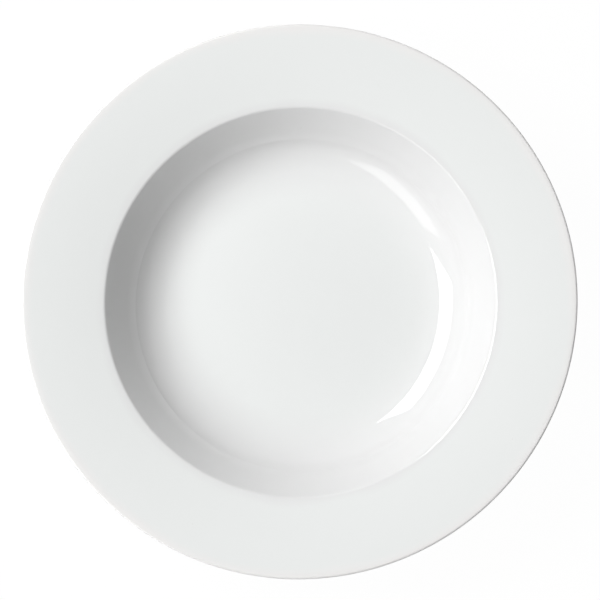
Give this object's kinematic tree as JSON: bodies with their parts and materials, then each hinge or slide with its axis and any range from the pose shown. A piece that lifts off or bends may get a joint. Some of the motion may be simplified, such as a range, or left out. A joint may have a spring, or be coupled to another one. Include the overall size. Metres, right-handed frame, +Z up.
{
  "type": "rimmed soup plate",
  "caption": "Round white porcelain soup plate with a wide, gently sloping rim, a deep well with a coved wall, and a foot ring to stand on.",
  "frame": {"origin": "centre of the foot ring, on the plane that the plate stands on", "axes": "+Z up along the plate's axis of revolution, out of the open well; +X and +Y are alike"},
  "size_m": [0.23, 0.23, 0.0402],
  "materials": {
    "bare_porcelain": "unglazed fired porcelain, matt and slightly gritty",
    "glaze": "clear glossy glaze over white porcelain"
  },
  "bodies": {
    "root": {"porcelain_body": "bare_porcelain", "glaze_coat": "glaze", "foot_well_glaze": "glaze"}
  },
  "joints": []
}
